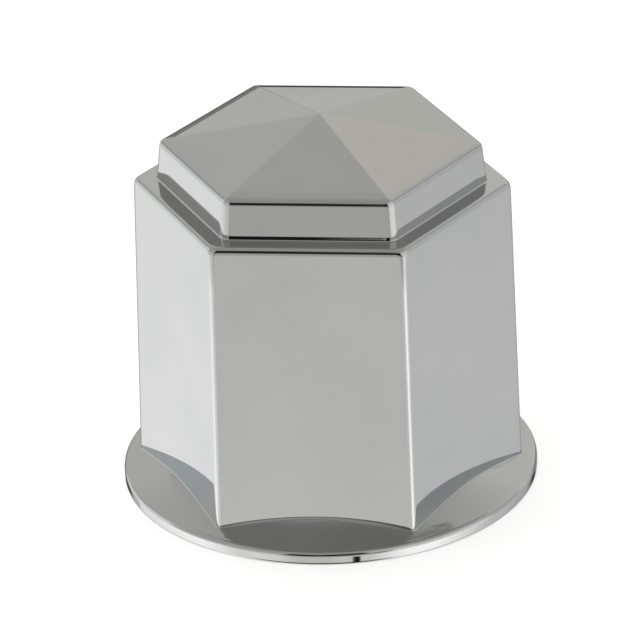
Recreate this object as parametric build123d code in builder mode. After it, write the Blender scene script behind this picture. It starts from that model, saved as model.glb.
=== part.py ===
"""Push-on cover cap for a wheel nut.

A hollow hexagonal body stands on a round conical flange and carries a narrower hexagonal crown with a low
point. Ribs inside grip the flats of the nut. Millimetres, +Z up, cap axis on Z, the flange's seat at Z = 0,
two flats facing +Y and -Y.
"""

import os
from math import cos, pi, radians, sin, tan

from build123d import *

# Wheel nut and the way it is gripped
NUT_ACROSS_FLATS = 33.0
NUT_CLEARANCE = 2.0  # between the nut's flats and the wall at the mouth
RIB_GRIP = 0.1  # bite of each rib into the nut
RIB_WIDTH = 1.2
RIB_SPACING = 11.0  # between the two ribs of a flat
RIB_START = 4.0  # above the seat
RIB_LEAD_IN = 5.0  # height of the ramp that guides the nut in

# Shell
FLATS = 6
WALL = 2.0
HIP_RADIUS = 1.0  # edges between neighbouring flats
CAVITY_EDGE_RADIUS = 0.6

# Flange
FLANGE_OVERHANG = 1.74  # past the corners of the body
FLANGE_SLOPE = 21.3  # degrees, falling outwards
RIM_HEIGHT = 1.5
RIM_RADIUS = 0.5
RIM_FOOT_RADIUS = 0.2
SEAT_WIDTH = 1.5
FOOT_FILLET = 0.3  # where the flats run out into the flange

# Body
BODY_HEIGHT = 38.85
BODY_DRAFT = 1.1  # degrees
BODY_TOP_RADIUS = 0.75

# Crown
SHOULDER_WIDTH = 2.38
CROWN_HEIGHT = 4.9
CROWN_DRAFT = 5.3  # degrees
CROWN_HIP_RADIUS = 1.3
CROWN_TOP_RADIUS = 0.85
CROWN_FOOT_FILLET = 0.2
POINT_HEIGHT = 3.7


def outward_normal(lower, upper):
    """Normal of one side of the half section, whose X is the half width and whose Y is the height."""
    run = (upper - lower).normalized()
    return Vector(run.Y, -run.X)


def inset(half_section, depth):
    """The half section moved in by a depth, with each side parallel to the one outside it."""
    normals = [outward_normal(a, b) for a, b in zip(half_section, half_section[1:])]
    corners = [
        point - (before + after) * (depth / (1 + before.dot(after)))
        for point, before, after in zip(half_section[1:], normals, normals[1:])
    ]
    foot = Vector(half_section[0].X - depth / normals[0].X, half_section[0].Y)
    tip = Vector(0, half_section[-1].Y - depth / normals[-1].Y)
    return [foot, *corners, tip]


def six_sided(half_section):
    """The solid with this half section at every flat: one bar across each pair of flats, all crossed."""
    right = [(point.X, point.Y) for point in half_section]
    left = [(-point.X, point.Y) for point in reversed(half_section[:-1])]
    bar_length = 4 * half_section[0].X
    with BuildPart() as crossed:
        for pair in range(FLATS // 2):
            turn = pi / 2 + pair * 2 * pi / FLATS
            across = Vector(cos(turn), sin(turn))
            with BuildSketch(Plane((0, 0, 0), x_dir=across, z_dir=across.cross(Vector(0, 0, 1)))):
                with BuildLine():
                    Polyline(*right, *left, close=True)
                make_face()
            extrude(amount=bar_length / 2, both=True, mode=Mode.INTERSECT if pair else Mode.ADD)
    return crossed.part


def at_height(shapes, height, tolerance=0.01):
    """Those edges or faces that lie level at one height."""
    return shapes.filter_by_position(Axis.Z, height - tolerance, height + tolerance)


def uprights(shape, height):
    """The edges that stand between neighbouring flats at one height."""
    return [edge for edge in shape.edges() if edge.bounding_box().min.Z < height < edge.bounding_box().max.Z]


# Half section through the middle of a flat, from the seat up to the point
body_foot_half = NUT_ACROSS_FLATS / 2 + NUT_CLEARANCE + WALL
body_top_half = body_foot_half - BODY_HEIGHT * tan(radians(BODY_DRAFT))
crown_foot_half = body_top_half - SHOULDER_WIDTH
crown_top_half = crown_foot_half - CROWN_HEIGHT * tan(radians(CROWN_DRAFT))
crown_top_height = BODY_HEIGHT + CROWN_HEIGHT
outside = [
    Vector(body_foot_half, 0),
    Vector(body_top_half, BODY_HEIGHT),
    Vector(crown_foot_half, BODY_HEIGHT),
    Vector(crown_top_half, crown_top_height),
    Vector(0, crown_top_height + POINT_HEIGHT),
]
mid_wall = inset(outside, WALL / 2)
inside = inset(outside, WALL)

flange_radius = body_foot_half / cos(pi / FLATS) + FLANGE_OVERHANG
underside_radius = flange_radius - SEAT_WIDTH
cone_rise = tan(radians(FLANGE_SLOPE))

# Hollow of the body and crown
with BuildPart() as cavity:
    add(six_sided(inside))
    fillet(uprights(cavity, BODY_HEIGHT / 2), CAVITY_EDGE_RADIUS)

# Pair of grip ribs for one flat, drawn on the +X side and rooted in the middle of the wall
rib_tip_half = NUT_ACROSS_FLATS / 2 - RIB_GRIP
rib_start_half = mid_wall[0].X - RIB_START * tan(radians(BODY_DRAFT))
with BuildPart() as rib_pair:
    with BuildSketch(Plane.XZ.offset((RIB_SPACING - RIB_WIDTH) / 2)):
        with BuildLine():
            Polyline(
                (rib_start_half, RIB_START),
                (mid_wall[1].X, mid_wall[1].Y),
                (rib_tip_half, mid_wall[1].Y),
                (rib_tip_half, RIB_START + RIB_LEAD_IN),
                close=True,
            )
        make_face()
    extrude(amount=RIB_WIDTH)
    mirror(about=Plane.XZ)

# Crown with its point
with BuildPart() as crown:
    add(six_sided(outside[2:]))
    fillet(at_height(crown.edges(), crown_top_height), CROWN_TOP_RADIUS)
    fillet(uprights(crown, BODY_HEIGHT + CROWN_HEIGHT / 2), CROWN_HIP_RADIUS)

# Cover cap
with BuildPart() as cap:
    add(six_sided([*outside[:2], Vector(0, BODY_HEIGHT)]))
    fillet(uprights(cap, BODY_HEIGHT / 2), HIP_RADIUS)
    fillet(at_height(cap.edges(), BODY_HEIGHT), BODY_TOP_RADIUS)
    add(crown.part)
    shoulder = at_height(cap.faces().filter_by(GeomType.PLANE), BODY_HEIGHT)[0]
    fillet(shoulder.inner_wires()[0].edges(), CROWN_FOOT_FILLET)

    with BuildSketch(Plane.XZ) as flange:
        with BuildLine():
            Polyline(
                (0, 0),
                (flange_radius, 0),
                (flange_radius, RIM_HEIGHT),
                (0, RIM_HEIGHT + flange_radius * cone_rise),
                close=True,
            )
        make_face()
        fillet(flange.vertices().sort_by_distance((flange_radius, RIM_HEIGHT))[0], RIM_RADIUS)
        fillet(flange.vertices().sort_by_distance((flange_radius, 0))[0], RIM_FOOT_RADIUS)
    revolve(axis=Axis.Z)
    fillet(cap.edges(Select.NEW), FOOT_FILLET)

    add(cavity.part, mode=Mode.SUBTRACT)
    with BuildSketch(Plane.XZ):
        with BuildLine():
            Polyline((0, 0), (underside_radius, 0), (0, underside_radius * cone_rise), close=True)
        make_face()
    revolve(axis=Axis.Z, mode=Mode.SUBTRACT)
    with PolarLocations(0, FLATS, start_angle=180 / FLATS):
        add(rib_pair.part)

cap.part.label = "cover_cap"
os.makedirs("parts", exist_ok=True)
export_step(cap.part, "parts/cover_cap.step")
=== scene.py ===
"""Push-on cover cap for a wheel nut: plated shell, grip ribs and a small studio."""

from math import cos, pi, radians, sin, tan

import bpy
import numpy as np
from bpy.props import FloatProperty, FloatVectorProperty, IntProperty, PointerProperty
from mathutils import Matrix, Vector


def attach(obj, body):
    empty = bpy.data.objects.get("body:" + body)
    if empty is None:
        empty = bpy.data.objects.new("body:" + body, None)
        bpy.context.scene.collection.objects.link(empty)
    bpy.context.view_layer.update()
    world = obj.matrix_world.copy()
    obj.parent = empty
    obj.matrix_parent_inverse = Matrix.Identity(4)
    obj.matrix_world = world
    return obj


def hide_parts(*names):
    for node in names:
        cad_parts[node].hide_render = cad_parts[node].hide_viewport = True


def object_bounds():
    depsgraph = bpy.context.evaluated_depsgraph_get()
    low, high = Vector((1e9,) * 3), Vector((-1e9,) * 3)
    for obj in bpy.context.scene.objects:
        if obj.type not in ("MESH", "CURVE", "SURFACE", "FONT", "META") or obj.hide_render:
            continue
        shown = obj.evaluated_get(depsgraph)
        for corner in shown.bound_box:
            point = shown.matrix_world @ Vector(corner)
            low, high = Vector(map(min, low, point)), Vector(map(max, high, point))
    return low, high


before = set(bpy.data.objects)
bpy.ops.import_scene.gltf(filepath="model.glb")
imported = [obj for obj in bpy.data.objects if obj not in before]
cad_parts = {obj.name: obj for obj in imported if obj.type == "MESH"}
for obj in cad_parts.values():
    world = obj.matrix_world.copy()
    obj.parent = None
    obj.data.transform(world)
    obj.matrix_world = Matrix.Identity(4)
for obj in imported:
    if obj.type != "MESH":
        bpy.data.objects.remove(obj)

CAD_LOW, CAD_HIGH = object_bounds()

bl_info = {
    "name": "Wheel Nut Cover Cap",
    "version": (1, 0, 0),
    "blender": (4, 5, 0),
    "location": "3D View > Sidebar > Cover Cap",
    "description": "Builds a chrome-plated cover cap for a wheel nut and the studio it is shown in",
    "category": "Mesh",
}

CAP_NODE = "cover_cap"
BODY = "root"

# Hexagon
FLATS = 6
SIXTH = 2 * pi / FLATS
HALF_FLAT = tan(SIXTH / 2)  # half a flat's length on a hexagon whose flats lie one unit from the axis
CORNER_STRIP = 0.0018  # share of half a flat that the narrow strip beside its corner takes
NEARLY_LEVEL = 1e-3  # least lean, in radians, that still counts as a slope

# Rounded edges
EDGE_SWELL = 1.0  # how much the bend of a rounded edge grows from its ends to its middle
EDGE_SPREAD = 1.3  # how far a rounded edge reaches, against the arc of the same radius
EARLY = 0.4  # how far the bend of an edge above an upright wall is brought forward, off the wall
LATE = -0.4  # the same for the crown's edge, whose bend sets in slowly
FINE_STEPS = 40  # steps that a bend is summed over, in each of its strips
HOLD = 2e-5  # width of the narrow strips that keep flat faces flat beside a rounded edge
BROW_RADIUS = 0.007  # of the very slight bend before the crown's edge
INNER_RADIUS = 3e-4  # of the hollow's upper edges
LIP_REACH = 2e-4  # of the rounding at the mouth
INNER_CUTS = 4  # strips round an edge inside
SETTLE_ROUNDS = 40  # rounds after which a flat's meeting with the flange stands still

# Rows of the shell
TIP_ROWS = (0.3, 0.7, 1.3, 2.2, 4.0, 8.0, 16.0)  # distances from the axis, against the tip's rounding
TIP_RIDGE = 0.6  # most of half a flat that the rounding of a ridge takes near the tip
FLAT_ROWS = (0.14, 0.98, 7)  # first, last and number of the rows down a flat, in shares of it
CONE_ROWS = (0, 0.95, 9)  # the same out along the flange
INNER_FLAT_ROWS = (0, 0.98, 8)  # the same up a flat inside
SEAT_ROWS = ((8e-5, 0.0), (3e-5, 2e-6))  # at the seat's inner edge: how far outside it and how high
UNDER_ROWS = (4e-5, 1e-4)  # how far inside that edge the next rows lie
INNER_TIP_ROWS = (1.2e-3, 3e-4)  # distances from the axis at the top of the hollow
INNER_TIP_RIDGE = 0.2  # share of half a flat that the rounding of a ridge takes there

# Rows of a rib
RAMP_ROWS = (0.06, 1, 8)  # first, last and number of the rows up the ramp, in shares of it
GRIP_ROWS = (1.06, 1.4, 3.0, 5.0)  # heights of the rows above the ramp, in ramps
RIB_TOP = 2e-4  # how far the rib ends below the middle of the shoulder's wall
TIP_EDGE_SHARE = 0.45  # most of a rib's depth that the rounding of its tip takes
SIDE_STRIP = 0.02  # share of a rib's depth in the narrow strip beside its rounded tip

# Sockets of a colour mix node
MIX_FIRST = 6
MIX_SECOND = 7
MIX_RESULT = 2

# Camera
SENSOR_WIDTH = 36.0  # millimetres
CLIP_NEAR = 0.01
CLIP_FAR = 20.0


def length(name, description, default):
    """A length in metres."""
    return FloatProperty(
        name=name, description=description, default=default, min=0.0, precision=5,
        unit="LENGTH", subtype="DISTANCE",
    )


def angle(name, description, degrees):
    """An angle, given in degrees and kept in radians."""
    return FloatProperty(
        name=name, description=description, default=radians(degrees), unit="ROTATION", subtype="ANGLE"
    )


def share(name, description, default):
    """A plain factor from nothing to one."""
    return FloatProperty(
        name=name, description=description, default=default, min=0.0, max=1.0, precision=3, subtype="FACTOR"
    )


def colour(name, description, default):
    """A linear colour."""
    return FloatVectorProperty(
        name=name, description=description, default=default, min=0.0, max=4.0, size=3, subtype="COLOR"
    )


def spot(name, description, default):
    """A point in metres."""
    return FloatVectorProperty(
        name=name, description=description, default=default, size=3, precision=6,
        unit="LENGTH", subtype="XYZ",
    )


class ShellSizes(bpy.types.PropertyGroup):
    """Sizes of the hollow cap"""

    flange_radius: length("Flange radius", "Radius of the round rim", min(*CAD_HIGH.xy, *-CAD_LOW.xy))
    flange_slope: angle("Flange slope", "Fall of the flange towards its rim", 21.3)
    flange_dish: length("Flange dish", "Sag of the flange below a straight slope", 0.00014)
    rim_height: length("Rim height", "Height at which the flange's slope meets the rim", 0.0015)
    rim_radius: length("Rim rounding", "Rounding of the rim's upper edge", 0.0006)
    seat_edge: length("Seat edge", "Rounding of the rim's lower edge", 0.0003)
    seat_width: length("Seat width", "Width of the flat ring that the cap stands on", 0.0015)
    foot_fillet: length("Foot fillet", "Hollow where the flats run out into the flange", 0.00012)
    body_half: length("Body half width", "From the axis to a flat, at the seat", 0.0205)
    body_height: length("Body height", "Height of the level shoulder", 0.03885)
    body_draft: angle("Body draft", "Lean of the body's flats", 1.1)
    body_edge: length("Body edge", "Rounding of the body's upper edge", 0.00075)
    hip_radius: length("Hip radius", "Rounding between neighbouring flats", 0.001)
    corner_ease: length("Corner ease", "Further rounding of the body's upper corners", 0.0014)
    shoulder_width: length("Shoulder width", "Step from the body in to the crown", 0.00238)
    crown_height: length("Crown height", "Height of the crown's side", 0.0049)
    crown_draft: angle("Crown draft", "Lean of the crown's side", 5.3)
    crown_foot: length("Crown foot", "Hollow between shoulder and crown", 0.0002)
    crown_hip: length("Crown hip", "Rounding between the crown's sides", 0.00175)
    crown_edge: length("Crown edge", "Rounding of the crown's upper edge", 0.00095)
    brow_width: length("Brow width", "Width of the facets' outer strip that falls a little steeper", 0.0018)
    brow_angle: angle("Brow angle", "How much steeper that strip falls", 1.8)
    point_height: length("Point height", "Rise of the six facets to the point", 0.0037)
    wall: length("Wall", "Thickness of the wall", 0.002)
    hollow_edge: length("Hollow edge", "Rounding of the edges inside", 0.0006)
    flat_cuts: IntProperty(name="Flat cuts", description="Strips across a flat", default=28, min=4)
    edge_cuts: IntProperty(name="Edge cuts", description="Strips round a rounded edge", default=14, min=2)


class RibSizes(bpy.types.PropertyGroup):
    """Sizes of the ribs that grip the nut"""

    tip_half: length("Tip half width", "From the axis to the ribs' tips", 0.0164)
    width: length("Rib width", "Width of a rib", 0.0012)
    spacing: length("Rib spacing", "Between the two ribs of a flat", 0.011)
    start: length("Rib start", "Height at which the ramp leaves the wall", 0.004)
    lead_in: length("Lead-in", "Height of the ramp that guides the nut", 0.005)
    edge: length("Rib edge", "Rounding of a rib's tip", 0.00035)


class PlatingFinish(bpy.types.PropertyGroup):
    """Finish of the plating"""

    metal: colour("Metal", "Colour of the plating", (0.55, 0.553, 0.545))
    clouded: colour("Clouded metal", "Colour of the plating where it is clouded", (0.525, 0.53, 0.526))
    pit: colour("Pits", "Colour of the small pits", (0.09, 0.09, 0.09))
    edge_tint: colour("Edge tint", "Share of the mirroring left at a glancing angle", (0.85, 0.85, 0.85))
    gloss_roughness: share("Outer roughness", "Roughness of the polished outside", 0.03)
    gloss_spread: share("Outer spread", "How much rougher the outside is where it is clouded", 0.03)
    gloss_ripple: length("Outer ripple", "Height of the moulding's faint ripple outside", 0.0000012)
    satin_roughness: share("Inner roughness", "Roughness of the unpolished inside", 0.24)
    satin_spread: share("Inner spread", "How much rougher the inside is where it is clouded", 0.12)
    satin_ripple: length("Inner ripple", "Height of the moulding's ripple inside", 0.0000048)
    pit_size: length("Pit size", "Radius of the small pits", 0.00009)


class StudioSettings(bpy.types.PropertyGroup):
    """Camera, floor and light"""

    azimuth: angle("Camera azimuth", "Turn of the camera round the cap, from the front", 5.995)
    elevation: angle("Camera elevation", "Height of the camera above the horizon", 26.259)
    roll: angle("Camera roll", "Turn of the picture", -1.944)
    distance: length("Camera distance", "From the camera to the point it looks at", 0.62582)
    aim: spot("Aim", "Point the camera looks at", (-0.000642, 0.0, 0.019819))
    lens: FloatProperty(
        name="Lens", description="Focal length in millimetres", default=288.72, min=1.0,
        unit="CAMERA", subtype="DISTANCE_CAMERA",
    )
    floor_reach: length("Floor reach", "From the axis to the floor's edges", 1.5)
    floor_colour: colour("Floor", "Colour of the floor", (0.42, 0.42, 0.415))
    floor_glow: colour("Floor glow", "Light that lifts the floor to white", (0.62, 0.62, 0.62))
    fill: colour("Fill light", "Light that the room sheds on the floor", (0.45, 0.45, 0.45))
    lamp_power: FloatProperty(
        name="Lamp power", description="Power of the soft lamp", default=2.6, unit="POWER", subtype="POWER"
    )
    lamp_size: length("Lamp size", "Width of the soft lamp", 0.5)
    lamp_place: spot("Lamp place", "Where the soft lamp hangs", (-0.05, 0.05, 0.55))


# Shapes


def soft_turn(turn, cuts, early=0.0):
    """A turn whose bend swells from its ends to its middle: its places, its headings and its corner's place.

    While u goes from 0 to 1, w = u + early * u * (1 - u) brings the bend forward. The heading is
    turn * (w - swell * sin(2 pi w) / (2 pi)). The places ahead and aside are the sums of its cosines and
    sines, divided by the mean distance from the turn's two ends to the corner that it rounds.
    """
    u = np.linspace(0, 1, FINE_STEPS * cuts + 1)
    w = u + early * u * (1 - u)
    heading = turn * (w - EDGE_SWELL * np.sin(2 * pi * w) / (2 * pi))
    middle = (heading[1:] + heading[:-1]) / 2
    ahead = np.concatenate([[0], np.cumsum(np.cos(middle))])
    aside = np.concatenate([[0], np.cumsum(np.sin(middle))])
    last = aside[-1] / sin(turn)
    first = ahead[-1] - last * cos(turn)
    reach = (first + last) / 2
    return ahead[::FINE_STEPS] / reach, aside[::FINE_STEPS] / reach, heading[::FINE_STEPS], first / reach


def hexagon_columns(flat_cuts, edge_cuts):
    """Columns round a hexagon of unit inner radius: points on its outline, and the way in at its corners.

    Along a flat the point slides from corner to corner, and the way in runs back along the flat in
    proportion. At a corner the point stays and the way in follows a soft turn. A hexagon of inner radius a
    whose corners are rounded over a reach q is then a * point + q * way in.
    """
    evenly = np.linspace(-1, 1, flat_cuts + 1)[1:-1]
    slide = np.concatenate([[-1, CORNER_STRIP - 1], evenly, [1 - CORNER_STRIP, 1]])
    ahead, aside, _, _ = soft_turn(SIXTH, edge_cuts)
    back = np.concatenate([-slide, ahead[1:-1] - 1])[:, None]
    drop = np.concatenate([0 * slide, aside[1:-1]])[:, None]
    slide = np.concatenate([slide, np.ones(edge_cuts - 1)])[:, None]
    facing = (np.arange(FLATS) * SIXTH - pi / 2)[:, None]
    outward = np.stack([np.cos(facing), np.sin(facing)], axis=-1)
    along = np.stack([-np.sin(facing), np.cos(facing)], axis=-1)
    point = outward + HALF_FLAT * slide * along
    return point.reshape(-1, 2), (back * along - drop * outward).reshape(-1, 2)


def plan_share(lean):
    """Plan radius of a hip that a unit ball rounds, for flats whose normals lean this far off the axis.

    The ball touches each flat at tan(half the angle between the normals) from the hip. Measured level
    along the flat that is the touch distance over the sine of the angle between hip and level line, and
    a plan arc through a sixth of a turn leaves its corner at tan(30 degrees) times its radius. On level
    faces nothing is left of it.
    """
    lean = np.maximum(lean, NEARLY_LEVEL)
    off, along = np.sin(lean), np.cos(lean)
    first = np.stack([off * cos(SIXTH / 2), -off * sin(SIXTH / 2), along], axis=-1)
    second = first * np.array([1, -1, 1])
    between = np.arccos(np.clip((first * second).sum(-1), -1, 1))
    hip = np.cross(first, second)
    hip /= np.linalg.norm(hip, axis=-1, keepdims=True)
    level = np.array([sin(SIXTH / 2), cos(SIXTH / 2), 0.0])
    meet = np.linalg.norm(np.cross(hip, level), axis=-1)
    return np.tan(between / 2) / meet / HALF_FLAT


def hip_reach(radius):
    """How far the rounding of an upright edge reaches along its two flats."""
    return EDGE_SPREAD * radius * HALF_FLAT


def eased_profile(corners, radii, cuts, early=(0.0, 0.0, 0.0)):
    """Half section with rounded corners, as half widths, heights and the leans of the outward normal.

    A corner of radius r is rounded by a soft turn over a reach of r * tan(half its turn), spread a little:
    corner + reach * ((x - c) * ahead + y * aside), with the soft turn's places x and y and its corner's
    place c. A further row close before and after each corner keeps the straight runs flat.
    """
    corners = np.asarray(corners, float)
    run = np.diff(corners, axis=0)
    run /= np.linalg.norm(run, axis=1, keepdims=True)
    spots, heads = [], []
    for corner, ahead, after, radius, forward in zip(corners[1:-1], run, run[1:], radii, early):
        turn = np.arctan2(ahead[0] * after[1] - ahead[1] * after[0], ahead @ after)
        aside = np.sign(turn) * np.array([-ahead[1], ahead[0]])
        reach = EDGE_SPREAD * radius * tan(abs(turn) / 2)
        *places, place = soft_turn(abs(turn), cuts, forward)
        x, y, heading = (value[:, None] for value in places)
        arc = corner + reach * ((x - place) * ahead + y * aside)
        spots += [arc[:1] - HOLD * ahead, arc, arc[-1:] + HOLD * after]
        heads += [ahead[None], np.cos(heading) * ahead + np.sin(heading) * aside, after[None]]
    spots, heads = np.concatenate(spots), np.concatenate(heads)
    return spots[:, 0], spots[:, 1], np.arctan2(np.abs(heads[:, 1]), np.abs(heads[:, 0]))


def hexagon_rows(columns, half, height, reach):
    """Level rows of a rounded hexagon: half * point + reach * way in, at each height."""
    point, way_in = columns
    half, height, reach = (np.asarray(value, float)[:, None, None] for value in (half, height, reach))
    plan = half * point + reach * way_in
    return np.concatenate([plan, np.broadcast_to(height, plan[..., :1].shape)], axis=-1)


def flange_share(sizes, radius):
    """Where a radius lies on the flange, from -1 at the flats to 1 at the rim."""
    return 2 * (radius - sizes.body_half) / (sizes.flange_radius - sizes.body_half) - 1


def flange_height(sizes, radius):
    """Height of the flange's top: a slope that falls outwards to the rim, less a sag of dish * (1 - |s|^3).

    The share s goes from -1 at the flats to 1 at the rim, so the slope is plain midway, steeper by the
    flats and gentler by the rim.
    """
    s = flange_share(sizes, radius)
    straight = sizes.rim_height + (sizes.flange_radius - radius) * tan(sizes.flange_slope)
    return straight - sizes.flange_dish * (1 - abs(s) ** 3)


def flange_fall(sizes, radius):
    """Angle of the flange's top: the plain slope less the sag's own, 6 * dish * s * |s| / width."""
    s = flange_share(sizes, radius)
    width = sizes.flange_radius - sizes.body_half
    return np.arctan(tan(sizes.flange_slope) - 6 * sizes.flange_dish * s * abs(s) / width)


def foot_meeting(columns, half_at_seat, draft, reach, height_at):
    """Where each column of a drafted hexagon meets a surface of revolution, and the column's way up.

    The surface's height at the column's distance from the axis is put back in until it stands still.
    """
    point, way_in = columns
    height = np.zeros(len(point))
    for _ in range(SETTLE_ROUNDS):
        plan = (half_at_seat - height * tan(draft))[:, None] * point + reach * way_in
        height = height_at(np.linalg.norm(plan, axis=1))
    upward = np.concatenate([-tan(draft) * point, np.ones((len(point), 1))], axis=1)
    upward /= np.linalg.norm(upward, axis=1, keepdims=True)
    return np.concatenate([plan, height[:, None]], axis=1), upward


def downhill(bearing, slope):
    """Directions straight down a surface that falls outwards, at each bearing."""
    level = np.cos(slope) + 0 * bearing
    fall = -np.sin(slope) + 0 * bearing
    return np.stack([np.cos(bearing) * level, np.sin(bearing) * level, fall], axis=1)


def ring_rows(bearing, radius, height):
    """Level circles at each radius and height, with their points at the given bearings."""
    radius, height = (np.asarray(value, float).reshape(len(value), -1) for value in (radius, height))
    circle = np.broadcast_arrays(radius * np.cos(bearing), radius * np.sin(bearing), height)
    return np.stack(circle, axis=-1)


def bend_rows(meeting, before, after, reach, cuts):
    """Rounded meeting of surfaces: meeting + reach * ((1 - u)^2 * before + u^2 * after), u from 0 to 1."""
    u = np.linspace(0, 1, cuts + 1)[:, None, None]
    return meeting + reach * ((1 - u) ** 2 * before + u**2 * after)


def closed_grid(rows, first_pole, last_pole):
    """Vertices, quads and triangles of rows that are closed loops, with a pole at either end."""
    count, around = rows.shape[:2]
    index = np.arange(count * around).reshape(count, around) + 1
    beside = np.roll(index, -1, axis=1)
    quads = np.stack([index[:-1], index[1:], beside[1:], beside[:-1]], axis=-1).reshape(-1, 4)
    first = np.stack([np.zeros(around, int), index[0], beside[0]], axis=-1)
    last = np.stack([index[-1], np.full(around, count * around + 1), beside[-1]], axis=-1)
    points = np.concatenate([[first_pole], rows.reshape(-1, 3), [last_pole]])
    return points, quads, np.concatenate([first, last])


def turned_copies(points, turns):
    """Copies of points turned about the axis by each t: x cos t - y sin t, x sin t + y cos t and z."""
    x, y, z = points.T
    across, along = np.cos(turns)[:, None], np.sin(turns)[:, None]
    return np.stack([x * across - y * along, x * along + y * across, z + 0 * across], axis=-1)


def new_piece(name, points, quads, triangles, materials, face_material=None):
    """A smooth mesh object at the origin."""
    mesh = bpy.data.meshes.new(name)
    mesh.from_pydata(points.tolist(), [], quads.tolist() + triangles.tolist())
    if mesh.validate():
        raise RuntimeError(f"{name} has faults in its mesh")
    for material in materials:
        mesh.materials.append(material)
    if face_material is not None:
        mesh.polygons.foreach_set("material_index", face_material.astype(np.int32))
    mesh.shade_smooth()
    piece = bpy.data.objects.new(name, mesh)
    bpy.context.scene.collection.objects.link(piece)
    return piece


def outer_corners(sizes):
    """Corners of the outer half section, from the point down to the seat."""
    body_top = sizes.body_half - sizes.body_height * tan(sizes.body_draft)
    crown_foot = body_top - sizes.shoulder_width
    crown_top = crown_foot - sizes.crown_height * tan(sizes.crown_draft)
    top_height = sizes.body_height + sizes.crown_height
    return np.array([
        (0.0, top_height + sizes.point_height),
        (crown_top, top_height),
        (crown_foot, sizes.body_height),
        (body_top, sizes.body_height),
        (sizes.body_half, 0.0),
    ])


def with_brow(sizes, corners):
    """The half section with the facets' outer strip bent down by the brow's angle."""
    fall = corners[1] - corners[0]
    fall /= np.linalg.norm(fall)
    bent = Matrix.Rotation(-sizes.brow_angle, 2) @ Vector(fall)
    steeper = np.array(bent)
    start = corners[1] - sizes.brow_width * fall
    side = corners[2] - corners[1]
    along, _ = np.linalg.solve(np.stack([steeper, -side], axis=1), corners[1] - start)
    return np.concatenate([corners[:1], [start, start + along * steeper], corners[2:]])


def inset_corners(corners, depth):
    """The half section moved in by a depth, each side parallel to the one outside it."""
    run = np.diff(corners, axis=0)
    run /= np.linalg.norm(run, axis=1, keepdims=True)
    normal = np.stack([-run[:, 1], run[:, 0]], axis=1)
    meet = 1 + (normal[:-1] * normal[1:]).sum(1, keepdims=True)
    middle = corners[1:-1] - (normal[:-1] + normal[1:]) * depth / meet
    tip = corners[0] - (0.0, depth / normal[0, 1])
    foot = corners[-1] - (depth / normal[-1, 0], 0.0)
    return np.concatenate([[tip], middle, [foot]])


def tip_rows(columns, corners, sag, reach):
    """The point's last rows: height = sharp height - slope * sqrt(half^2 + e^2), with e = sag / slope."""
    slope = (corners[0, 1] - corners[1, 1]) / corners[1, 0]
    ease = sag / slope
    half = ease * np.array(TIP_ROWS)
    height = corners[0, 1] - slope * np.sqrt(half**2 + ease**2)
    return hexagon_rows(columns, half, height, np.minimum(reach, half * TIP_RIDGE * HALF_FLAT))


def crown_rows(sizes, columns):
    """Rows of the point, the crown, the shoulder and the body's upper edge, each one a rounded hexagon.

    Half widths and heights follow the eased half section. The corners' rounding follows the lean of the
    facets and sides. Beside the level shoulder it grows with the half width, so that the rows lie at even
    distances, and the body's upper corners are eased further.
    """
    outside = outer_corners(sizes)
    radii = (BROW_RADIUS, sizes.crown_edge, sizes.crown_foot, sizes.body_edge)
    half, height, lean = eased_profile(
        with_brow(sizes, outside), radii, sizes.edge_cuts, (0.0, LATE, 0.0, EARLY)
    )
    brow, _, foot, brim = np.split(np.arange(len(half)), 4)
    crown_hip = hip_reach(sizes.crown_hip)
    reach = crown_hip * plan_share(lean)
    reach[foot] = crown_hip + (half[foot] - half[foot[0]]) * HALF_FLAT
    rise = np.linspace(1, 0, len(brim))
    ease = sizes.corner_ease * rise**2 * (3 - 2 * rise)
    reach[brim] = hip_reach(sizes.hip_radius) + (half[brim] - half[brim[-1]]) * HALF_FLAT + ease
    tip = tip_rows(columns, outside, outside[0, 1] - CAD_HIGH.z, reach[brow[0]])
    return np.concatenate([tip, hexagon_rows(columns, half, height, reach)])


def flange_rows(sizes, columns, brim):
    """Rows down the flats from the body's upper edge, round the hollow at their foot, over flange and rim.

    A row of the flats is brim + share * (foot - brim). A row of the flange lies at the bearings of the
    foot, with radii that go from the foot's own to the rim's.
    """
    foot_line, wall_up = foot_meeting(
        columns, sizes.body_half, sizes.body_draft, hip_reach(sizes.hip_radius),
        lambda radius: flange_height(sizes, radius),
    )
    bearing = np.arctan2(foot_line[:, 1], foot_line[:, 0])
    cone_down = downhill(bearing, flange_fall(sizes, np.linalg.norm(foot_line[:, :2], axis=1)))
    hollow_reach = sizes.foot_fillet / tan((pi / 2 + sizes.flange_slope) / 2)
    hollow = bend_rows(foot_line, wall_up, cone_down, hollow_reach, sizes.edge_cuts)
    drop = np.linspace(*FLAT_ROWS)[:, None, None]
    flats = brim + drop * (hollow[0] - brim)
    flats_end = (hollow[0] + HOLD * wall_up)[None]

    # The rim's section comes in along the slope that the flange ends with
    section = [
        (0.0, sizes.rim_height + sizes.flange_radius * tan(flange_fall(sizes, sizes.flange_radius))),
        (sizes.flange_radius, sizes.rim_height),
        (sizes.flange_radius, 0.0),
        (sizes.flange_radius - sizes.seat_width, 0.0),
    ]
    radii = (sizes.rim_radius, sizes.seat_edge)
    half, height, _ = eased_profile(section, radii, sizes.edge_cuts, (EARLY, 0.0))
    rim = ring_rows(bearing, half, height)
    cone_start = np.linalg.norm((hollow[-1] + HOLD * cone_down)[:, :2], axis=1)
    cone_radius = cone_start + np.linspace(*CONE_ROWS)[:, None] * (half[0] - cone_start)
    cone = ring_rows(bearing, cone_radius, flange_height(sizes, cone_radius))
    return np.concatenate([flats, flats_end, hollow, cone, rim])


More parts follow.
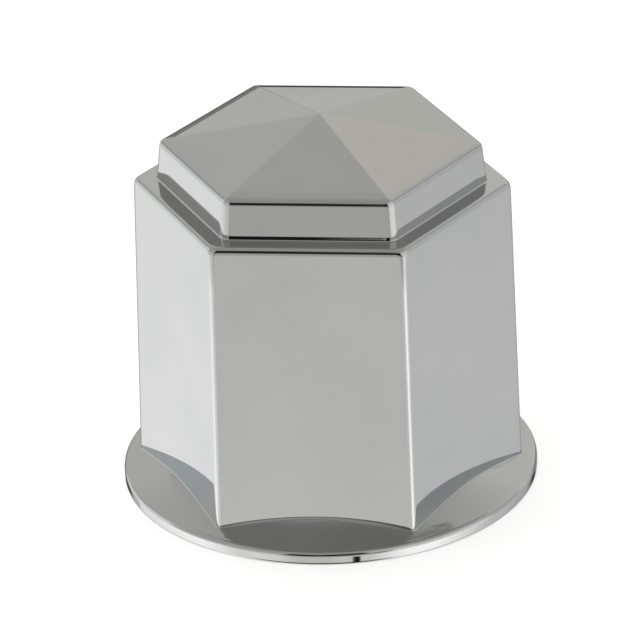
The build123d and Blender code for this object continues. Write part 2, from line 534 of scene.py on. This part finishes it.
def hollow_rows(sizes, columns):
    """Rows at the seat's inner edge, rows of the hollow up from its underside, and the hollow's top.

    The flats inside meet the sloping underside at a rounded lip and follow the inset half section.
    """
    inside = inset_corners(outer_corners(sizes), sizes.wall)
    slope = sizes.flange_slope
    underside = sizes.flange_radius - sizes.seat_width
    edge = sizes.hollow_edge * HALF_FLAT
    mouth, inner_up = foot_meeting(
        columns, inside[-1, 0], sizes.body_draft, edge, lambda radius: (underside - radius) * tan(slope)
    )
    bearing = np.arctan2(mouth[:, 1], mouth[:, 0])
    inner_down = downhill(bearing, slope)
    seat_step, seat_height = np.array(SEAT_ROWS).T
    seat = ring_rows(bearing, underside + seat_step, seat_height)
    under_half = underside - np.array(UNDER_ROWS)
    under = ring_rows(bearing, under_half, (underside - under_half) * tan(slope))
    lip = bend_rows(mouth, inner_down, inner_up, LIP_REACH, INNER_CUTS)
    under_end = (lip[0] + HOLD * inner_down)[None]

    half, height, lean = eased_profile(inside[::-1], (INNER_RADIUS,) * 3, INNER_CUTS)
    top = hexagon_rows(columns, half, height, edge * np.minimum(1, plan_share(lean)))
    start = lip[-1] + HOLD * inner_up
    flats = start + np.linspace(*INNER_FLAT_ROWS)[:, None, None] * (top[0] - start)
    last_half = np.array(INNER_TIP_ROWS)
    last_height = inside[0, 1] - last_half * (inside[0, 1] - inside[1, 1]) / inside[1, 0]
    tip = hexagon_rows(columns, last_half, last_height, last_half * INNER_TIP_RIDGE * HALF_FLAT)
    return seat, np.concatenate([under, under_end, lip, flats, top, tip]), (0.0, 0.0, inside[0, 1])


def rib_rows(sizes, shell):
    """Rows of one rib on the flat that faces +X, from the foot of its ramp up into the shoulder.

    Across, a closed section runs from the root up one side, round the tip's two edges and down the other
    side. Upwards, the tip's distance from the axis falls along the ramp to the grip and then stays.
    """
    corners = inset_corners(outer_corners(shell), shell.wall / 2)
    climb = np.concatenate([np.linspace(*RAMP_ROWS), GRIP_ROWS])
    height = np.append(sizes.start + climb * sizes.lead_in, corners[3, 1] - RIB_TOP)
    root = (corners[-1, 0] - height * tan(shell.body_draft))[:, None]
    start = corners[-1, 0] - sizes.start * tan(shell.body_draft)
    tip = np.append(start + np.minimum(climb, 1) * (sizes.tip_half - start), sizes.tip_half)[:, None]
    edge = np.minimum(sizes.edge, (root - tip) * TIP_EDGE_SHARE)
    quarter = np.linspace(0, pi / 2, INNER_CUTS + 1)
    side = np.concatenate([[-1.0, -1.0], -np.cos(quarter), np.cos(quarter[::-1]), [1.0, 1.0]])
    fall = np.concatenate([[0.0, 0.0], np.sin(quarter), np.sin(quarter[::-1]), [0.0, 0.0]])
    across = np.sign(side) * (sizes.width / 2 - edge) + side * edge
    away = tip + edge * (1 - fall)
    away[:, [1, -2]] += (root - away[:, [1, -2]]) * SIDE_STRIP
    away[:, [0, -1]] = root
    level = np.broadcast_to(height[:, None], away.shape)
    return np.stack([away, across, level], axis=-1)


# Materials


def add_node(tree, kind, sockets=None, **settings):
    """A node with some of its settings and sockets set."""
    node = tree.nodes.new(kind)
    for name, value in settings.items():
        setattr(node, name, value)
    for name, value in (sockets or {}).items():
        node.inputs[name].default_value = value
    return node


def mixed(tree, factor, first, second, blend="MIX"):
    """Output of a colour mix, whose factor and colours are plain values or other nodes' outputs."""
    node = add_node(tree, "ShaderNodeMix", data_type="RGBA", blend_type=blend)
    sockets = node.inputs["Factor"], node.inputs[MIX_FIRST], node.inputs[MIX_SECOND]
    for socket, value in zip(sockets, (factor, first, second)):
        if isinstance(value, bpy.types.NodeSocket):
            tree.links.new(value, socket)
        elif socket.type == "VALUE":
            socket.default_value = value
        else:
            socket.default_value = (*value, 1.0)
    return node.outputs[MIX_RESULT]


def plating_grain():
    """Node group: faint clouding, sparse pits and the moulding's ripple, as masks and a height."""
    group = bpy.data.node_groups.new("Plating grain", "ShaderNodeTree")
    scales = {"Cloud Scale": 60.0, "Ripple Scale": 150.0, "Pit Scale": 330.0, "Pit Size": 0.03}
    for name, default in scales.items():
        socket = group.interface.new_socket(name, in_out="INPUT", socket_type="NodeSocketFloat")
        socket.default_value = default
    for name in ("Clouding", "Pits", "Ripple"):
        group.interface.new_socket(name, in_out="OUTPUT", socket_type="NodeSocketFloat")
    start = group.nodes.new("NodeGroupInput")
    end = group.nodes.new("NodeGroupOutput")
    place = group.nodes.new("ShaderNodeTexCoord")
    link = group.links.new

    cloud = add_node(group, "ShaderNodeTexNoise", {"Detail": 4.0, "Roughness": 0.55})
    link(place.outputs["Object"], cloud.inputs["Vector"])
    link(start.outputs["Cloud Scale"], cloud.inputs["Scale"])
    spread = add_node(
        group, "ShaderNodeMapRange", {"From Min": 0.35, "From Max": 0.7}, interpolation_type="SMOOTHSTEP"
    )
    link(cloud.outputs["Fac"], spread.inputs["Value"])
    link(spread.outputs["Result"], end.inputs["Clouding"])

    cell = group.nodes.new("ShaderNodeTexVoronoi")
    link(place.outputs["Object"], cell.inputs["Vector"])
    link(start.outputs["Pit Scale"], cell.inputs["Scale"])
    pit = add_node(
        group, "ShaderNodeMapRange", {"To Min": 1.0, "To Max": 0.0}, interpolation_type="SMOOTHSTEP"
    )
    link(cell.outputs["Distance"], pit.inputs["Value"])
    link(start.outputs["Pit Size"], pit.inputs["From Max"])
    link(pit.outputs["Result"], end.inputs["Pits"])

    ripple = add_node(group, "ShaderNodeTexNoise", {"Detail": 1.0, "Roughness": 0.4})
    link(place.outputs["Object"], ripple.inputs["Vector"])
    link(start.outputs["Ripple Scale"], ripple.inputs["Scale"])
    link(ripple.outputs["Fac"], end.inputs["Ripple"])
    return group


def plating_material(name, grain, finish, roughness, spread, ripple):
    """Metal plating whose colour and gloss follow the grain's masks."""
    material = bpy.data.materials.new(name)
    material.use_nodes = True
    tree = material.node_tree
    link = tree.links.new
    shader = tree.nodes["Principled BSDF"]
    shader.inputs["Metallic"].default_value = 1.0
    shader.inputs["Specular Tint"].default_value = (*finish.edge_tint, 1.0)
    group = add_node(tree, "ShaderNodeGroup", node_tree=grain)
    group.inputs["Pit Size"].default_value = finish.pit_size * group.inputs["Pit Scale"].default_value

    tone = mixed(tree, group.outputs["Clouding"], finish.metal, finish.clouded)
    pitted = mixed(tree, group.outputs["Pits"], tone, finish.pit)
    link(pitted, shader.inputs["Base Color"])

    dull = add_node(tree, "ShaderNodeMapRange", {"To Min": roughness, "To Max": roughness + spread})
    link(group.outputs["Clouding"], dull.inputs["Value"])
    link(dull.outputs["Result"], shader.inputs["Roughness"])

    bump = add_node(tree, "ShaderNodeBump", {"Strength": 1.0, "Distance": ripple})
    link(group.outputs["Ripple"], bump.inputs["Height"])
    link(bump.outputs["Normal"], shader.inputs["Normal"])
    return material


def plating_materials(scene):
    """The polished outside and the satin inside, made once."""
    made = [bpy.data.materials.get(name) for name in ("Polished plating", "Satin plating")]
    if all(made):
        return made
    finish = scene.cap_finish
    grain = plating_grain()
    polished = plating_material(
        "Polished plating", grain, finish, finish.gloss_roughness, finish.gloss_spread, finish.gloss_ripple
    )
    satin = plating_material(
        "Satin plating", grain, finish, finish.satin_roughness, finish.satin_spread, finish.satin_ripple
    )
    return [polished, satin]


# Studio


def floor_material(settings):
    """Pale floor that takes the cap's shadow, white to the camera, open from below."""
    material = bpy.data.materials.new("Pale floor")
    material.use_nodes = True
    tree = material.node_tree
    link = tree.links.new
    tree.nodes.remove(tree.nodes["Principled BSDF"])
    end = tree.nodes["Material Output"]
    paper = add_node(tree, "ShaderNodeBsdfDiffuse", {"Color": (*settings.floor_colour, 1.0)})
    path = tree.nodes.new("ShaderNodeLightPath")
    glow = add_node(tree, "ShaderNodeEmission", {"Color": (*settings.floor_glow, 1.0)})
    link(path.outputs["Is Camera Ray"], glow.inputs["Strength"])
    lit = tree.nodes.new("ShaderNodeAddShader")
    link(paper.outputs["BSDF"], lit.inputs[0])
    link(glow.outputs["Emission"], lit.inputs[1])
    clear = tree.nodes.new("ShaderNodeBsdfTransparent")
    side = tree.nodes.new("ShaderNodeNewGeometry")
    mix = tree.nodes.new("ShaderNodeMixShader")
    link(side.outputs["Backfacing"], mix.inputs["Fac"])
    link(lit.outputs["Shader"], mix.inputs[1])
    link(clear.outputs["BSDF"], mix.inputs[2])
    link(mix.outputs["Shader"], end.inputs["Surface"])
    return material


def bearing_mark(degrees):
    """Place of a bearing on a ramp that runs once round the horizon, from -180 to 180 degrees."""
    return degrees / 360 + 0.5


def height_mark(degrees):
    """Place of an elevation on a ramp that runs over its sine, from straight down to straight up."""
    return sin(radians(degrees)) / 2 + 0.5


def window(first, last, soft):
    """Marks of a soft-edged stretch of degrees from first to last."""
    return [(first - soft, 0.0), (first, 1.0), (last, 1.0), (last + soft, 0.0)]


def left_window(first, soft):
    """Marks of a soft-edged stretch of bearings from first through straight left to the left walls' end."""
    end = [(-180, 1.0), (LEFT_END, 1.0), (LEFT_END + LEFT_FADE, 0.0)]
    return [*end, (first - soft, 0.0), (first, 1.0), (180, 1.0)]


WHITE = (1.0, 1.0, 1.0)
LEFT_END = -168  # bearing at which the walls at the left start to fade
LEFT_FADE = 10

# Bearings count from the right, with 90 degrees behind the cap, and elevations from the horizon

# Table round the cap: bearing in degrees and grey or colour
TABLE = (
    (-174, 1.54), (-162, 1.61), (-150, 1.4), (-138, 1.1), (-126, 1.09), (-114, 1.02), (-108, 0.86),
    (-102, (0.807, 0.81, 0.773)), (-88, (0.797, 0.8, 0.763)), (-80, (0.9, 0.9, 0.88)), (-72, 0.87),
    (-64, 0.93), (-58, 1.12), (-52, 1.34), (-42, 1.62), (-34, 1.7), (-26, 1.66), (-18, 1.49), (6, 0.97),
    (18, 0.832), (30, 0.792), (40, 0.68), (52, 0.66), (60, 0.42), (68, 0.06), (122, 0.1), (127, 0.4),
    (131, 0.74), (139.5, 0.78), (141.6, 1.25), (150, 1.31), (180, 1.48),
)
TABLE_TINT = (1.0, 0.997, 1.006)
# Table behind the cap
BEHIND = window(80, 104, 6)
BACK_TABLE = (0.66, 0.66, 0.65)
# Painted shadow of the cap on the table, darker towards the cap's foot, by elevation, at the sides and in
# front
FRONT = window(-128, -52, 6)
SIDE_CAP_SHADOW = (
    (-70, 0.85), (-40, 0.92), (-32, 0.96), (-28.6, 0.98), (-27.2, 1.035), (-26.3, 1.035), (-24.3, 1.0),
    (-22, 0.95),
)
FRONT_CAP_SHADOW = (
    (-60, 0.15), (-36, 0.2), (-32.5, 0.5), (-30.5, 1.02), (-28, 1.06), (-26, 1.05), (-24.7, 1.0),
    (-23, 0.99),
)
# Dark post on the table beside the camera, by bearing, and how high it stands
POST = ((-73.6, 1.0), (-73.1, 0.02), (-69.9, 0.02), (-69.4, 1.0))
POST_HEIGHT = ((-26.5, 1.0), (-25.7, 0.0))
# Elevations at which the table gives way to the room
TABLE_EDGE = ((-23, 0.0), (-20, 1.0))
# Small cards in front and at the right: bearings, elevations and colour of each
CARDS = (
    (window(-95.2, -90, 0.3), window(13.6, 14.9, 0.2), (0.85, 0.855, 0.81)),
    (window(47, 55, 2), window(23, 29.5, 2), (1.08, 1.08, 1.06)),
    (window(46, 56, 2), window(56.6, 59.6, 0.8), (0.44, 0.44, 0.43)),
    (window(64.1, 74, 0.8), window(55.5, 62, 0.6), (0.31, 0.308, 0.302)),
    (window(66.6, 74, 0.8), window(54, 62, 0.6), (0.31, 0.308, 0.302)),
)
# Parts that the walls behind the cap share: their pale foot, a dark ledge, and the upper wall
BACK_FOOT = ((-20, 0.6), (-11, 0.55))
LEDGE = ((-8.5, 0.08), (-1.9, 0.08))
UPPER_BACK = ((16, 0.7), (24, 0.74), (28, 0.71), (33, 0.66), (40, 0.61), (49, 0.58), (62, 0.47), (90, 0.45))
BACK_TINT = (1.012, 1.018, 0.97)
# Wall behind the cap: greys by elevation
BACK_WALL = (*BACK_FOOT, *LEDGE, (-1.15, 0.72), (0, 0.73), (8, 0.71), *UPPER_BACK)
# Walls set before it, in order: bearings and tint of each, and greys by elevation
SIDE_WALLS = (
    # Just left of the middle, with a higher ledge
    (
        window(99.5, 107, 1.5), BACK_TINT,
        (*BACK_FOOT, (-8.5, 0.2), (1, 0.22), (5.5, 0.27), (6.7, 0.71), *UPPER_BACK),
    ),
    # Behind at the left
    (
        window(108, 132, 4), BACK_TINT,
        (
            *BACK_FOOT, (-8.5, 0.15), (3, 0.2), (10, 0.68), (28, 0.67), (38, 0.61), (49, 0.575), (62, 0.48),
            (90, 0.45),
        ),
    ),
    # Behind at the right
    (
        window(52, 90, 4), (1.012, 1.016, 0.955),
        (
            *BACK_FOOT, *LEDGE, (-1.15, 0.72), (8, 0.72), (16, 0.76), (31, 0.77), (36, 0.75), (42, 0.67),
            (48, 0.6), (54, 0.55), (62, 0.48), (90, 0.45),
        ),
    ),
    # Straight behind, with a faint warm band
    (
        window(76, 93, 2.5), WHITE,
        (
            *BACK_FOOT, *LEDGE, (-1.15, 0.73), (12, (0.735, 0.739, 0.69)), (18, (0.79, 0.77, 0.74)),
            (24, (0.845, 0.805, 0.78)), (36, (0.8, 0.762, 0.72)), (42, (0.7, 0.69, 0.66)), (50, 0.57),
            (62, 0.47), (90, 0.45),
        ),
    ),
    # Behind at the right, with a broad grey ledge
    (
        window(56, 68, 4), (1.01, 1.014, 0.955),
        (
            *BACK_FOOT, (-8.5, 0.28), (11, 0.28), (16, 0.74), (31, 0.785), (36, 0.75), (42, 0.67), (48, 0.6),
            (54, 0.55), (62, 0.48), (90, 0.45),
        ),
    ),
    # Left, from behind
    (
        left_window(135, 7), WHITE,
        (
            (-20, 1.27), (-12, 1.05), (-6, (0.92, 0.99, 1.005)), (0, (0.94, 1.005, 1.03)),
            (6, (0.945, 1.005, 1.035)), (10, (0.91, 0.965, 0.99)), (14, 0.84), (18, 0.73), (22, 0.61),
            (26, 0.48), (31, 0.48), (35, 0.57), (45, 0.555), (52, 0.52), (60, 0.49), (90, 0.45),
        ),
    ),
    # Left, a brighter stretch
    (
        left_window(154, 4), WHITE,
        (
            (-20, 1.22), (-12, 1.05), (-6, (0.93, 1.0, 1.015)), (0, (0.945, 1.01, 1.03)),
            (9, (0.96, 1.01, 1.045)), (14, 1.03), (20, 0.99), (26, 0.93), (31, 0.83), (36, 0.7), (42, 0.58),
            (50, 0.53), (60, 0.5), (75, 0.47), (90, 0.45),
        ),
    ),
    # Front left
    (
        window(-160, -116, 8), (1.005, 1.006, 0.99),
        (
            (-20, 0.93), (-16, 0.94), (-13, 0.84), (-9, 0.75), (-4, 0.71), (0, 0.67), (8, 0.61), (20, 0.58),
            (30, 0.53), (45, 0.48), (60, 0.435), (90, 0.42),
        ),
    ),
    # Left, towards the front
    (
        window(-178, -146, 6), WHITE,
        (
            (-20, 1.1), (-16, 1.1), (-13, 0.88), (-9, 0.77), (0, 0.7), (8, 0.62), (20, 0.58), (30, 0.54),
            (45, 0.52), (60, 0.5), (75, 0.47), (90, 0.45),
        ),
    ),
    # Right, towards the front
    (
        window(-50, 6, 8), (1.005, 1.003, 0.99),
        (
            (-20, 1.2), (-15, 1.17), (-12, 1.04), (-8, 0.95), (-2, 0.91), (4, 0.87), (28, 0.86), (36, 0.8),
            (42, 0.68), (48, 0.56), (56, 0.48), (90, 0.45),
        ),
    ),
    # Right, towards the back
    (
        window(14, 46, 8), (1.0, 0.998, 1.004),
        (
            (-20, 0.775), (-18, 0.774), (-16, 0.72), (-12, 0.675), (0, (0.66, 0.69, 0.7)),
            (10, (0.69, 0.72, 0.73)), (19, 0.76), (23, 0.6), (26, 0.5), (32, 0.48), (36, 0.6), (42, 0.64),
            (48, 0.57), (55, 0.49), (90, 0.45),
        ),
    ),
    # In front, dark beside the camera
    (
        window(-107, -69, 5), (1.012, 1.018, 0.965),
        (
            (-20, 0.6), (-18.5, 0.47), (-16.6, 0.47), (-15.5, 0.61), (-14, 0.605), (-12, 0.53), (-10, 0.4),
            (-8, 0.26), (-6, 0.13), (-4, 0.06), (-2, 0.02), (0, 0.012), (14, 0.012), (20, 0.035), (26, 0.08),
            (32, 0.14), (36, 0.38), (40, 0.44), (60, 0.425), (90, 0.42),
        ),
    ),
)


def set_marks(ramp, marks):
    """Sets a colour ramp's marks, given as place and grey or colour."""
    while len(ramp.elements) < len(marks):
        ramp.elements.new(1.0)
    for element, (place, tone) in zip(ramp.elements, marks):
        element.position = place
        element.color = (*tone, 1.0) if hasattr(tone, "__len__") else (tone, tone, tone, 1.0)


def studio_world(settings):
    """White to the camera, and to the metal a studio: pale table, soft walls, a dark strip in front."""
    world = bpy.data.worlds.new("Studio")
    bpy.context.scene.world = world
    world.use_nodes = True
    tree = world.node_tree
    link = tree.links.new
    tree.nodes.clear()
    place = tree.nodes.new("ShaderNodeTexCoord")
    split = tree.nodes.new("ShaderNodeSeparateXYZ")
    link(place.outputs["Generated"], split.inputs["Vector"])
    turn = add_node(tree, "ShaderNodeMath", operation="ARCTAN2")
    link(split.outputs["Y"], turn.inputs[0])
    link(split.outputs["X"], turn.inputs[1])
    bearing = add_node(tree, "ShaderNodeMapRange", {"From Min": -pi, "From Max": pi})
    link(turn.outputs["Value"], bearing.inputs["Value"])
    height = add_node(tree, "ShaderNodeMapRange", {"From Min": -1.0, "From Max": 1.0})
    link(split.outputs["Z"], height.inputs["Value"])

    def ramp(measure, marks):
        """Tone of a ramp over a measure."""
        node = tree.nodes.new("ShaderNodeValToRGB")
        set_marks(node.color_ramp, marks)
        link(measure.outputs["Result"], node.inputs["Fac"])
        return node.outputs["Color"]

    def around(marks):
        """Tone by bearing."""
        return ramp(bearing, [(bearing_mark(degrees), grey) for degrees, grey in marks])

    def upward(marks, tint=WHITE):
        """Tone by elevation."""
        return ramp(height, [(height_mark(degrees), np.multiply(grey, tint)) for degrees, grey in marks])

    room = upward(BACK_WALL, BACK_TINT)
    for stretch, tint, marks in SIDE_WALLS:
        room = mixed(tree, around(stretch), room, upward(marks, tint))
    for bearings, elevations, shade in CARDS:
        card = mixed(tree, 1.0, around(bearings), upward(elevations), "MULTIPLY")
        room = mixed(tree, card, room, shade)
    # Painted shadow of the cap on the table below it, darkest in front
    depth = mixed(tree, around(FRONT), upward(SIDE_CAP_SHADOW, TABLE_TINT), upward(FRONT_CAP_SHADOW))
    table = mixed(tree, 1.0, around(TABLE), depth, "MULTIPLY")
    table = mixed(tree, around(BEHIND), table, BACK_TABLE)
    darkened = mixed(tree, 1.0, table, around(POST), "MULTIPLY")
    table = mixed(tree, upward(POST_HEIGHT), table, darkened)
    seen = mixed(tree, upward(TABLE_EDGE), table, room)

    path = tree.nodes.new("ShaderNodeLightPath")
    mirrored = add_node(tree, "ShaderNodeMath", operation="MAXIMUM")
    link(path.outputs["Is Glossy Ray"], mirrored.inputs[0])
    link(path.outputs["Is Transmission Ray"], mirrored.inputs[1])
    lighting = mixed(tree, mirrored.outputs["Value"], settings.fill, seen)
    back = tree.nodes.new("ShaderNodeBackground")
    link(mixed(tree, path.outputs["Is Camera Ray"], lighting, WHITE), back.inputs["Color"])
    end = tree.nodes.new("ShaderNodeOutputWorld")
    link(back.outputs["Background"], end.inputs["Surface"])


def place_camera(settings):
    """Camera on a sphere round the aim, rolled about its own line of sight."""
    turn, lift, roll = settings.azimuth, settings.elevation, settings.roll
    back = Vector((sin(turn) * cos(lift), -cos(turn) * cos(lift), sin(lift)))
    right = Vector((cos(turn), sin(turn), 0.0))
    up = back.cross(right)
    across = right * cos(roll) + up * sin(roll)
    above = up * cos(roll) - right * sin(roll)
    data = bpy.data.cameras.new("Camera")
    data.sensor_fit = "HORIZONTAL"
    data.sensor_width = SENSOR_WIDTH
    data.lens = settings.lens
    data.clip_start = CLIP_NEAR
    data.clip_end = CLIP_FAR
    camera = bpy.data.objects.new("Camera", data)
    bpy.context.scene.collection.objects.link(camera)
    stand = Vector(settings.aim) + back * settings.distance
    turned = Matrix((across, above, back)).transposed().to_4x4()
    camera.matrix_world = Matrix.Translation(stand) @ turned
    bpy.context.scene.camera = camera


def hang_lamp(settings):
    """Soft round lamp over the cap, which the metal doesn't mirror."""
    data = bpy.data.lights.new("Overhead lamp", "AREA")
    data.shape = "DISK"
    data.size = settings.lamp_size
    data.energy = settings.lamp_power
    lamp = bpy.data.objects.new("Overhead lamp", data)
    lamp.location = settings.lamp_place
    lamp.visible_glossy = False
    bpy.context.scene.collection.objects.link(lamp)


# Operators, panel and registration


class COVERCAP_OT_shell(bpy.types.Operator):
    """Build the hollow plated cap"""

    bl_idname = "covercap.shell"
    bl_label = "Plated shell"

    def execute(self, context):
        sizes = context.scene.cap_shell
        columns = hexagon_columns(sizes.flat_cuts, sizes.edge_cuts)
        crown = crown_rows(sizes, columns)
        flange = flange_rows(sizes, columns, crown[-1])
        seat, hollow, hollow_top = hollow_rows(sizes, columns)
        outer = np.concatenate([crown, flange, seat])
        rows = np.concatenate([outer, hollow])
        points, quads, triangles = closed_grid(rows, (0.0, 0.0, CAD_HIGH.z), hollow_top)
        around = rows.shape[1]
        row_of_quad = np.arange(len(quads)) // around
        # Quads come first, then the triangles round the outer and the inner pole
        satin = np.concatenate([row_of_quad >= len(outer), np.zeros(around, bool), np.ones(around, bool)])
        materials = plating_materials(context.scene)
        shell = new_piece("plated_shell", points, quads, triangles, materials, satin)
        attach(shell, BODY)
        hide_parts(CAP_NODE)
        return {"FINISHED"}


class COVERCAP_OT_ribs(bpy.types.Operator):
    """Build the ribs that grip the nut's flats"""

    bl_idname = "covercap.ribs"
    bl_label = "Grip ribs"

    def execute(self, context):
        sizes = context.scene.cap_ribs
        rows = rib_rows(sizes, context.scene.cap_shell)
        points, quads, triangles = closed_grid(rows[:, ::-1], rows[0].mean(0), rows[-1].mean(0))
        offset = np.array([[0.0, -sizes.spacing / 2, 0.0], [0.0, sizes.spacing / 2, 0.0]])
        pair = (points + offset[:, None]).reshape(-1, 3)
        every = turned_copies(pair, np.arange(FLATS) * SIXTH + SIXTH / 2).reshape(-1, 3)
        shift = np.arange(2 * FLATS)[:, None, None] * len(points)
        quads = (quads + shift).reshape(-1, 4)
        triangles = (triangles + shift).reshape(-1, 3)
        ribs = new_piece("grip_ribs", every, quads, triangles, plating_materials(context.scene)[1:])
        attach(ribs, BODY)
        return {"FINISHED"}


class COVERCAP_OT_studio(bpy.types.Operator):
    """Set up the floor, the light and the camera"""

    bl_idname = "covercap.studio"
    bl_label = "Studio"

    def execute(self, context):
        settings = context.scene.cap_studio
        square = np.array([(-1.0, -1.0, 0.0), (1.0, -1.0, 0.0), (1.0, 1.0, 0.0), (-1.0, 1.0, 0.0)])
        corners = settings.floor_reach * square
        no_triangles = np.zeros((0, 3), int)
        materials = [floor_material(settings)]
        floor = new_piece("floor", corners, np.array([[0, 1, 2, 3]]), no_triangles, materials)
        floor.visible_glossy = False
        hang_lamp(settings)
        studio_world(settings)
        place_camera(settings)
        context.scene.view_settings.view_transform = "Standard"
        return {"FINISHED"}


class COVERCAP_PT_maker(bpy.types.Panel):
    """Sizes, finish and studio of the cover cap"""

    bl_label = "Cover Cap"
    bl_space_type = "VIEW_3D"
    bl_region_type = "UI"
    bl_category = "Cover Cap"

    def draw(self, context):
        for operator, group in (
            (COVERCAP_OT_shell, "cap_shell"),
            (COVERCAP_OT_ribs, "cap_ribs"),
            (None, "cap_finish"),
            (COVERCAP_OT_studio, "cap_studio"),
        ):
            box = self.layout.box()
            values = getattr(context.scene, group)
            for key in values.__annotations__:
                box.prop(values, key)
            if operator:
                box.operator(operator.bl_idname)


GROUPS = {
    "cap_shell": ShellSizes,
    "cap_ribs": RibSizes,
    "cap_finish": PlatingFinish,
    "cap_studio": StudioSettings,
}
CLASSES = (*GROUPS.values(), COVERCAP_OT_shell, COVERCAP_OT_ribs, COVERCAP_OT_studio, COVERCAP_PT_maker)


def register():
    """Registers the classes and hangs the settings on the scene."""
    for item in CLASSES:
        bpy.utils.register_class(item)
    for name, group in GROUPS.items():
        setattr(bpy.types.Scene, name, PointerProperty(type=group))


def unregister():
    """Takes the settings and the classes away again."""
    for name in GROUPS:
        delattr(bpy.types.Scene, name)
    for item in reversed(CLASSES):
        bpy.utils.unregister_class(item)


def main():
    """Builds the cap and its studio."""
    register()
    bpy.ops.covercap.shell()
    bpy.ops.covercap.ribs()
    bpy.ops.covercap.studio()
    bpy.context.view_layer.update()


if __name__ == "__main__":
    main()
